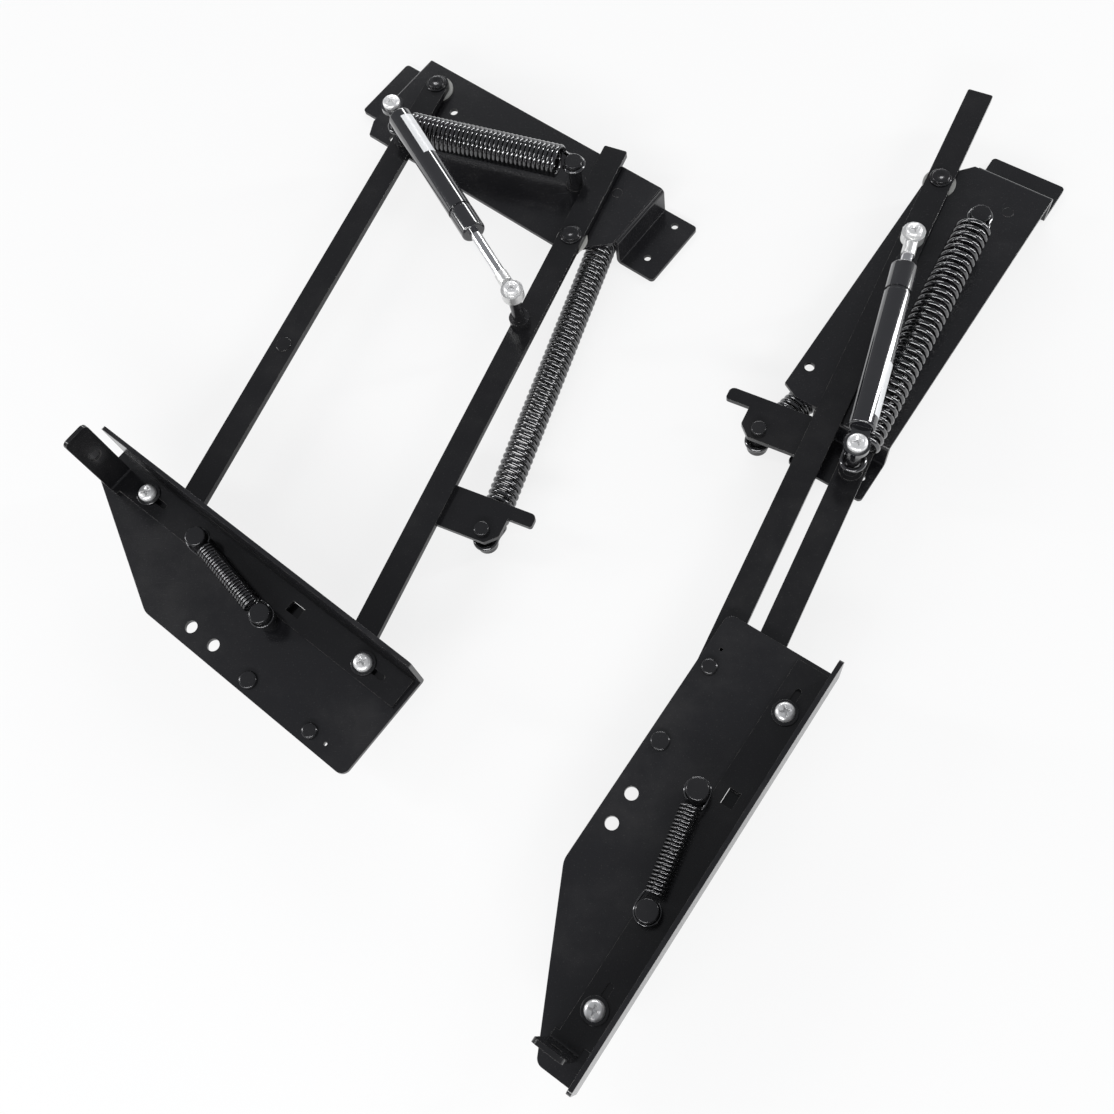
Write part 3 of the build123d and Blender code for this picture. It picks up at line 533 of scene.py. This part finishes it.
def wound_wire(name, start, tip, eye_radius, outer_radius, wire, turns, mirrored):
    """A spring from one post to the other, in the shared frame."""
    span = (tip - start) / mm
    points, pitch = wire_route(span.length, eye_radius, outer_radius - wire / 2, wire, turns)
    along = span.normalized()
    across = Vector((0, 0, 1)).cross(along) * (-1 if mirrored else 1)
    basis = Matrix((along, across, Vector((0, 0, 1)))).transposed()
    curve = bpy.data.curves.new(name, "CURVE")
    curve.dimensions = "3D"
    spline = curve.splines.new("POLY")
    spline.points.add(len(points) - 1)
    for spot, point in zip(points, spline.points):
        place = start + basis @ spot * mm
        point.co = (*place, 1)
    maker = bpy.data.objects.new(name, curve)
    bpy.context.scene.collection.objects.link(maker)
    modifier = maker.modifiers.new("wire", "NODES")
    modifier.node_group = wire_nodes
    set_inputs(modifier, wire_radius=wire / 2 * mm, sides=12, finish=spring_coat)
    piece = frozen(maker, name)
    print(f"{name}: {span.length:.1f} mm, pitch {pitch:.2f}, {len(piece.data.polygons)} faces")
    return piece


# %% Wind the springs
# Each row has the eye's radius, the coil's outer radius, the wire's diameter and the turns.
spring_sizes = {
    "short_lift_spring": (7.25, 12.5, 3.5, 33),
    "long_lift_spring": (7.4, 11.0, 3.8, 54),
    "latch_spring": (7.8, 7.0, 1.6, 22),
}


def level(point, z):
    return Vector((point.x, point.y, z))


def stretch(side, name, start, tip):
    """Winds one spring between its posts and hides the CAD spring it replaces."""
    piece = wound_wire(f"{side}_{name}_wire", start, tip, *spring_sizes[name], side == "right")
    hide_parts(f"{side}_{name}")
    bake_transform(piece)


for side in sides:
    for swing in ("short_spring", "long_spring"):
        start = Vector(joints[f"{side}_{swing}_swing"]["pos_m"])
        tip = level(middle(f"{side}_{swing}_pin"), start.z)
        name = swing.replace("_spring", "_lift_spring")
        stretch(side, name, start, tip)
    coil = middle(f"{side}_latch_spring")
    start = level(middle(f"{side}_latch_bar_post"), coil.z)
    tip = level(middle(f"{side}_latch_plate_post"), coil.z)
    stretch(side, "latch_spring", start, tip)

# %% [markdown]
# ## Turned pieces
#
# Screws, nuts and washers are turned shapes. A half profile spun round the upright
# axis gives each one, with small chamfers and a domed crown where the real one has
# them. The cross recess is a tapered pair of wings cut out with a Boolean, because
# its walls slope and its floor is small.

# %% Spin a profile
def meshed(name, shape):
    """The mesh of a finished shape, with every face looking outwards."""
    bmesh.ops.recalc_face_normals(shape, faces=shape.faces)
    mesh = bpy.data.meshes.new(name)
    shape.to_mesh(mesh)
    shape.free()
    return mesh


def round_loop(shape, radius, height, steps):
    loop = []
    for i in range(steps):
        a = math.tau * i / steps
        loop.append(shape.verts.new((radius * math.cos(a), radius * math.sin(a), height)))
    return loop


def turned_mesh(name, profile, steps=48):
    """A closed solid from (radius, height) pairs in mm that start and end on the axis."""
    shape = bmesh.new()
    rings = []
    for radius, height in profile:
        if radius < 1e-6:
            rings.append([shape.verts.new((0, 0, height))])
        else:
            rings.append(round_loop(shape, radius, height, steps))
    for low, high in zip(rings, rings[1:]):
        for i in range(steps):
            j = (i + 1) % steps
            corners = [low[i % len(low)], low[j % len(low)], high[j % len(high)], high[i % len(high)]]
            unique = list(dict.fromkeys(corners))
            if len(unique) > 2:
                shape.faces.new(unique)
    return meshed(name, shape)


def ring_mesh(name, profile, steps=48):
    """A closed ring from (radius, height) pairs that go round its section."""
    shape = bmesh.new()
    rings = [round_loop(shape, radius, height, steps) for radius, height in profile]
    for k, low in enumerate(rings):
        high = rings[(k + 1) % len(rings)]
        for i in range(steps):
            j = (i + 1) % steps
            shape.faces.new((low[i], low[j], high[j], high[i]))
    return meshed(name, shape)


def linked(name, mesh):
    piece = bpy.data.objects.new(name, mesh)
    bpy.context.scene.collection.objects.link(piece)
    return piece


# %% A pan head with a cross recess
def recess_wing(size, deep, top, turn):
    """One wedge of the cross, wide at the mouth and narrow at the floor."""
    mouth, floor = (size, size * 0.24), (size * 0.45, size * 0.13)
    c, s = math.cos(turn), math.sin(turn)
    shape = bmesh.new()
    rings = []
    for (half, thick), z in ((mouth, top + 1), (mouth, top), (floor, top - deep)):
        ring = []
        for x, y in ((-half, -thick), (half, -thick), (half, thick), (-half, thick)):
            ring.append(shape.verts.new((c * x - s * y, s * x + c * y, z)))
        rings.append(ring)
    shape.faces.new(rings[0])
    shape.faces.new(list(reversed(rings[-1])))
    for low, high in zip(rings, rings[1:]):
        for i in range(4):
            shape.faces.new((low[i], high[i], high[(i + 1) % 4], low[(i + 1) % 4]))
    return meshed("recess_wing", shape)


def arc_profile(centre_r, centre_z, radius, start, end, steps):
    points = []
    for i in range(steps + 1):
        a = math.radians(start + (end - start) * i / steps)
        points.append((centre_r + radius * math.cos(a), centre_z + radius * math.sin(a)))
    return points


def pan_head(head_radius, head_high, shank_radius, shank_long):
    """A pan head screw; its seat is at height 0 and its shank hangs below."""
    profile = [(0, -shank_long), (shank_radius - 0.4, -shank_long), (shank_radius, -shank_long + 0.5)]
    profile += [(shank_radius, -0.2), (shank_radius + 0.2, 0), (head_radius - 0.35, 0)]
    profile += arc_profile(head_radius - 0.35, 0.35, 0.35, -90, 0, 3)
    profile += arc_profile(head_radius - head_high * 0.62, head_high * 0.36, head_high * 0.62, 5, 78, 9)
    profile += [(head_radius * 0.28, head_high), (0, head_high + 0.05)]
    blank = linked("screw_blank", turned_mesh("screw_blank", profile, 56))
    wings = []
    for turn in (0, math.pi / 2):
        wing = recess_wing(head_radius * 0.58, head_high * 0.62, head_high + 0.06, turn)
        wings.append(linked("screw_wing", wing))
        cut = blank.modifiers.new("recess", "BOOLEAN")
        cut.operation = "DIFFERENCE"
        cut.object = wings[-1]
        cut.solver = "EXACT"
    bpy.context.view_layer.update()
    graph = bpy.context.evaluated_depsgraph_get()
    mesh = bpy.data.meshes.new_from_object(blank.evaluated_get(graph), depsgraph=graph)
    for tool in [blank] + wings:
        bpy.data.objects.remove(tool)
    return mesh


# %% [markdown]
# ## Fasteners on points, with Geometry Nodes
#
# The same screw, bolt or nut sits in several places. A tree puts one fastener on
# each given point, turns each by a seeded random angle as a real assembly leaves
# them, and realises the copies. The points come from the unit's own drawing.

# %% Build the fastener tree
def fastener_tree():
    tree = bpy.data.node_groups.new("fasteners_on_points", "GeometryNodeTree")
    face = tree.interface
    face.new_socket("Points", in_out="INPUT", socket_type="NodeSocketGeometry")
    face.new_socket("Fastener", in_out="INPUT", socket_type="NodeSocketObject")
    face.new_socket("Seed", in_out="INPUT", socket_type="NodeSocketInt")
    face.new_socket("Finish", in_out="INPUT", socket_type="NodeSocketMaterial")
    face.new_socket("Copies", in_out="OUTPUT", socket_type="NodeSocketGeometry")
    given = tree.nodes.new("NodeGroupInput")
    out = tree.nodes.new("NodeGroupOutput")
    source = tree.nodes.new("GeometryNodeObjectInfo")
    turn = tree.nodes.new("FunctionNodeRandomValue")
    turn.data_type = "FLOAT"
    spin = tree.nodes.new("ShaderNodeCombineXYZ")
    put = tree.nodes.new("GeometryNodeInstanceOnPoints")
    real = tree.nodes.new("GeometryNodeRealizeInstances")
    coat = tree.nodes.new("GeometryNodeSetMaterial")
    low = [s for s in turn.inputs if s.name == "Min" and s.type == "VALUE"][0]
    high = [s for s in turn.inputs if s.name == "Max" and s.type == "VALUE"][0]
    low.default_value = 0.0
    high.default_value = math.tau
    value = [s for s in turn.outputs if s.type == "VALUE"][0]
    join(tree, given.outputs["Seed"], [s for s in turn.inputs if s.name == "Seed"][0])
    join(tree, value, spin.inputs["Z"])
    join(tree, given.outputs["Fastener"], source.inputs["Object"])
    join(tree, given.outputs["Points"], put.inputs["Points"])
    join(tree, source.outputs["Geometry"], put.inputs["Instance"])
    join(tree, spin.outputs["Vector"], put.inputs["Rotation"])
    join(tree, put.outputs["Instances"], real.inputs["Geometry"])
    join(tree, real.outputs["Geometry"], coat.inputs["Geometry"])
    join(tree, given.outputs["Finish"], coat.inputs["Material"])
    join(tree, coat.outputs["Geometry"], out.inputs["Copies"])
    return tree


fastener_nodes = fastener_tree()


def shaded(piece, angle=35):
    """Smooth shading that breaks at real corners."""
    piece.data.shade_smooth()
    piece.data.set_sharp_from_angle(angle=math.radians(angle))
    return piece


def fasten(name, mesh, places, seed, finish, matrix):
    """Copies of a fastener at (x, y, z) places of a unit's drawing, as one mesh."""
    pattern = linked("pattern", mesh)
    points = bpy.data.meshes.new(name)
    points.from_pydata([tuple(place) for place in places], [], [])
    maker = linked(name, points)
    modifier = maker.modifiers.new("fasteners", "NODES")
    modifier.node_group = fastener_nodes
    set_inputs(modifier, fastener=pattern, seed=seed, finish=finish)
    piece = frozen(maker, name)
    bpy.data.objects.remove(pattern)
    piece.data.transform(matrix)
    if matrix.determinant() < 0:
        piece.data.flip_normals()
    return shaded(piece)


print("tree:", fastener_nodes.name)

# %% [markdown]
# ## Guide screws and their washers
#
# Two bright pan head screws hold the release bar against the side plate, each on
# its own black washer. They are the brightest spots in the photograph, so the
# recess and the washer's rolled edge are worth modelling.

# %% Screws and washers of the release bar
guide_places = ((-27.8, 0), (181.5, 0))
bar_thick, face_gap, washer_thick = 3.0, 0.1, 1.2
screw_seat = bar_thick + face_gap + washer_thick
guide_screw = pan_head(6.3, 4.4, 2.0, screw_seat + sheet)
washer_section = [
    (2.05, 0.1), (2.15, 0), (8.2, 0), (8.5, 0.3), (8.5, 0.9), (8.2, 1.2), (2.25, 1.2), (2.05, 1.0),
]
guide_washer = ring_mesh("guide_washer", washer_section, 56)
screw_places = [(x, y, screw_seat) for x, y in guide_places]
washer_places = [(x, y, bar_thick + face_gap) for x, y in guide_places]
for number, side in enumerate(sides):
    screws = fasten(f"{side}_guide_screws_detailed", guide_screw,
                    screw_places, 3 + number, bright_zinc, units[side])
    rings = fasten(f"{side}_guide_washers_detailed", guide_washer,
                   washer_places, 5 + number, black_fastener, units[side])
    for piece, node, slot in ((screws, "guide_screws", "zinc"), (rings, "guide_washers", "bolt_black")):
        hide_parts(f"{side}_{node}")
        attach(piece, plate_body[side])
    print(side, "guide screws", len(screws.data.polygons), "faces")

# %% [markdown]
# ## The strut's two screws
#
# The strut hangs on a post on the front arm and its eye on a stud on the rear arm.
# Both take the same kind of cross recess screw, a little larger than the guides'.

# %% Screws of the strut
strut_head_high = 4.0
post_screw = pan_head(6.6, strut_head_high, 3.0, 15.1)
eye_screw = pan_head(5.7, strut_head_high, 3.0, 7.9)
for number, side in enumerate(sides):
    for node, mesh, body in (
        ("strut_post_screw", post_screw, arm_body[side]),
        ("strut_eye_screw", eye_screw, f"{side}_strut_rod"),
    ):
        low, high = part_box(f"{side}_{node}")
        seat = high.z - strut_head_high * mm
        place = Vector(((low.x + high.x) / 2, (low.y + high.y) / 2, seat))
        matrix = Matrix.Translation(place) @ Matrix.Scale(mm, 4)
        piece = fasten(f"{side}_{node}_detailed", mesh, [(0, 0, 0)], 11 + number, bright_zinc, matrix)
        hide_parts(f"{side}_{node}")
        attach(piece, body)
print("strut screws made")

# %% [markdown]
# ## The blank label on the strut
#
# A pale sticker is wrapped round the strut near its post. It carries no words here.
# It is a thin curved patch a few hundredths above the paint, with a smooth paper
# finish.

# %% Wrap the label
label_paper = finish_material("label_paper", (0.82, 0.83, 0.84), (0.6, 0.6, 0.58), (0.3, 0.45),
                              peel=(500.0, 0.3), bump=0.03, edge_wear_and_highlight=0.3, scratch=0.3, dust=0.3, edge_round=0.1)

label_from, label_to = 21, 62
label_spread, label_steps = 66, 12
label_radius, label_thick = 9.02, 0.06


def wrapped_label(name, start, along, middle_angle, mirrored):
    """A patch of the tube's surface round middle_angle, which is in degrees up from level."""
    across = Vector((0, 0, 1)).cross(along) * (-1 if mirrored else 1)
    basis = Matrix((along, across, Vector((0, 0, 1)))).transposed()
    shape = bmesh.new()
    rows = []
    for radius in (label_radius, label_radius + label_thick):
        sheet_rows = []
        for i in range(label_steps + 1):
            a = math.radians(middle_angle - label_spread / 2 + label_spread * i / label_steps)
            line = []
            for x in (label_from, label_to):
                spot = Vector((x, radius * math.cos(a), radius * math.sin(a)))
                line.append(shape.verts.new(start + basis @ spot * mm))
            sheet_rows.append(line)
        rows.append(sheet_rows)
    under, over = rows
    for i in range(label_steps):
        shape.faces.new((over[i][0], over[i][1], over[i + 1][1], over[i + 1][0]))
        shape.faces.new((under[i][0], under[i + 1][0], under[i + 1][1], under[i][1]))
        for k in (0, 1):
            shape.faces.new((under[i][k], under[i + 1][k], over[i + 1][k], over[i][k]))
    for i in (0, label_steps):
        shape.faces.new((under[i][0], under[i][1], over[i][1], over[i][0]))
    piece = shaded(linked(name, meshed(name, shape)))
    piece.data.materials.append(label_paper)
    return piece


for side, angle in (("left", 62), ("right", 18)):
    start = Vector(joints[f"{side}_strut_swing"]["pos_m"])
    along = Vector(joints[f"{side}_strut_slide"]["axis"]).normalized()
    label = wrapped_label(f"{side}_strut_label", start, along, angle, side == "right")
    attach(label, f"{side}_strut_cylinder")
print("labels wrapped")

# %% [markdown]
# ## Bolts and nuts of the upper pivots
#
# A low round head on a wider flange sits over each arm, and a plain nut holds it
# under the bracket. The nut is a turned blank cut by six flats, so its corners keep
# the curved chamfer that a real one has: the mesh takes the smaller of the turned
# radius and the flats' distance at every angle.

# %% A hexagon with turned corners
def hexagon_mesh(name, flats, low, high, chamfer, bore, steps=72):
    """Rings whose radius is the hexagon's, capped by a turned chamfer cone."""
    corner = flats / 2 / math.cos(math.radians(30))
    levels = [(low, corner), (high - chamfer, corner)]
    levels += [(high - chamfer * 0.5, corner - chamfer * 0.9), (high, corner - chamfer * 1.8)]
    shape = bmesh.new()
    rings = []
    for z, cap in levels:
        ring = []
        for i in range(steps):
            a = math.tau * i / steps
            off = (a + math.pi / 6) % (math.pi / 3) - math.pi / 6
            radius = min(flats / 2 / math.cos(off), cap)
            ring.append(shape.verts.new((radius * math.cos(a), radius * math.sin(a), z)))
        rings.append(ring)
    loops = rings + [round_loop(shape, bore, z, steps) for z in (high, low)]
    for below, above in zip(loops, loops[1:] + loops[:1]):
        for i in range(steps):
            j = (i + 1) % steps
            shape.faces.new((below[i], below[j], above[j], above[i]))
    return meshed(name, shape)


def thread(radius, low, high, pitch=1.2, deep=0.45):
    """The crests and roots of a threaded end, from low to high."""
    count = int((high - low) / pitch)
    points = []
    for i in range(count):
        points += [(radius, low + pitch * i), (radius - deep, low + pitch * (i + 0.5))]
    return points


bolt_profile = [(0, -17.1), (3.3, -17.1)] + thread(4.0, -16.6, -10.2)
bolt_profile += [(4.0, -9.8), (4.0, -0.2), (4.1, 0), (7.7, 0)]
bolt_profile += [(8.0, 0.3), (8.0, 0.8), (7.6, 1.2), (6.35, 1.22)]
bolt_profile += arc_profile(5.5, 1.9, 1.0, 0, 80, 6) + [(2.0, 2.95), (1.6, 2.7), (0, 2.65)]
bolt = turned_mesh("flange_bolt", bolt_profile, 56)
nut = hexagon_mesh("nut", 13.0, 0, 6.0, 0.8, bore=4.02)
nut.transform(Matrix.Rotation(math.pi, 4, "X"))
print("bolt", len(bolt.polygons), "nut", len(nut.polygons), "faces")

# %% Put the bolts and nuts on both brackets
upper_span = Vector((182.0, -55.0))
bolt_seat, nut_top = -4.9, -15.0
for number, side in enumerate(sides):
    pivot = Vector(joints[f"{side}_bracket_level"]["pos_m"])
    home = units[side].inverted() @ pivot
    ends = [(home.x, home.y), (home.x + upper_span.x, home.y + upper_span.y)]
    seats = [(x, y, bolt_seat) for x, y in ends]
    bolts = fasten(f"{side}_flange_bolts", bolt, seats, 21 + number, black_fastener, units[side])
    seats = [(x, y, nut_top) for x, y in ends]
    nuts = fasten(f"{side}_pivot_nuts", nut, seats, 31 + number, black_fastener, units[side])
    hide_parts(f"{side}_top_pivot_bolts")
    for piece in (bolts, nuts):
        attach(piece, f"{side}_top_bracket")
print("upper pivots dressed")

# %% [markdown]
# ## Floor, light and background
#
# The photograph shows the parts cut out on white. A pale floor under soft light is
# white enough, and a share of plain white for camera rays lifts it to the page's
# white while the contact shadow stays. Mirrored rays get a smaller share, so bright
# metal shows a white floor and the black parts keep their dark sides. The lamps
# stand low round the sides, because glossy black plates that face the camera would
# mirror a lamp overhead.

# %% Floor and lamps
white_seen, white_mirrored = 0.8, 0.3


def floor_material():
    material = bpy.data.materials.new("pale_floor")
    material.use_nodes = True
    tree = material.node_tree
    tree.nodes.clear()
    out = tree.nodes.new("ShaderNodeOutputMaterial")
    plain = add(tree, "ShaderNodeBsdfDiffuse", Color=(0.84, 0.84, 0.84, 1))
    white = add(tree, "ShaderNodeEmission", Color=(1, 1, 1, 1), Strength=1.0)
    rays = tree.nodes.new("ShaderNodeLightPath")
    seen = math_node(tree, "MULTIPLY", rays.outputs["Is Camera Ray"], white_seen)
    mirrored = math_node(tree, "MULTIPLY", rays.outputs["Is Glossy Ray"], white_mirrored)
    share = math_node(tree, "MAXIMUM", seen, mirrored)
    blend = tree.nodes.new("ShaderNodeMixShader")
    join(tree, share, blend.inputs["Fac"])
    join(tree, plain.outputs["BSDF"], blend.inputs[1])
    join(tree, white.outputs["Emission"], blend.inputs[2])
    join(tree, blend.outputs["Shader"], out.inputs["Surface"])
    return material


def soft_lamp(name, place, size, watts):
    lamp = bpy.data.lights.new(name, "AREA")
    lamp.shape = "RECTANGLE"
    lamp.size, lamp.size_y = size
    lamp.energy = watts
    holder = bpy.data.objects.new(name, lamp)
    holder.location = place
    aim = (Vector((0, 0, 0)) - Vector(place)).to_track_quat("-Z", "Y")
    holder.rotation_euler = aim.to_euler()
    bpy.context.scene.collection.objects.link(holder)


floor_mesh = bpy.data.meshes.new("floor")
reach = 6.0
floor_drop = 0.4 * mm
corners = [(-reach, -reach, 0), (reach, -reach, 0), (reach, reach, 0), (-reach, reach, 0)]
floor_mesh.from_pydata(corners, [], [(0, 1, 2, 3)])
floor = linked("floor", floor_mesh)
floor.data.transform(Matrix.Translation((0, 0, -floor_drop)))
floor.data.materials.append(floor_material())
soft_lamp("key", (-0.3, -1.75, 1.1), (2.3, 0.3), 36)
soft_lamp("left", (-1.7, 0.3, 0.9), (0.25, 1.2), 12)
soft_lamp("right", (1.7, 0.5, 0.65), (0.16, 1.4), 16)
soft_lamp("rim", (0.1, 2.1, 0.9), (1.8, 0.3), 18)
world = bpy.data.worlds.new("studio")
world.use_nodes = True
world.node_tree.nodes["Background"].inputs["Color"].default_value = (0.93, 0.95, 1.0, 1)
world.node_tree.nodes["Background"].inputs["Strength"].default_value = 0.27
bpy.context.scene.world = world
bpy.context.scene.view_settings.view_transform = "Standard"
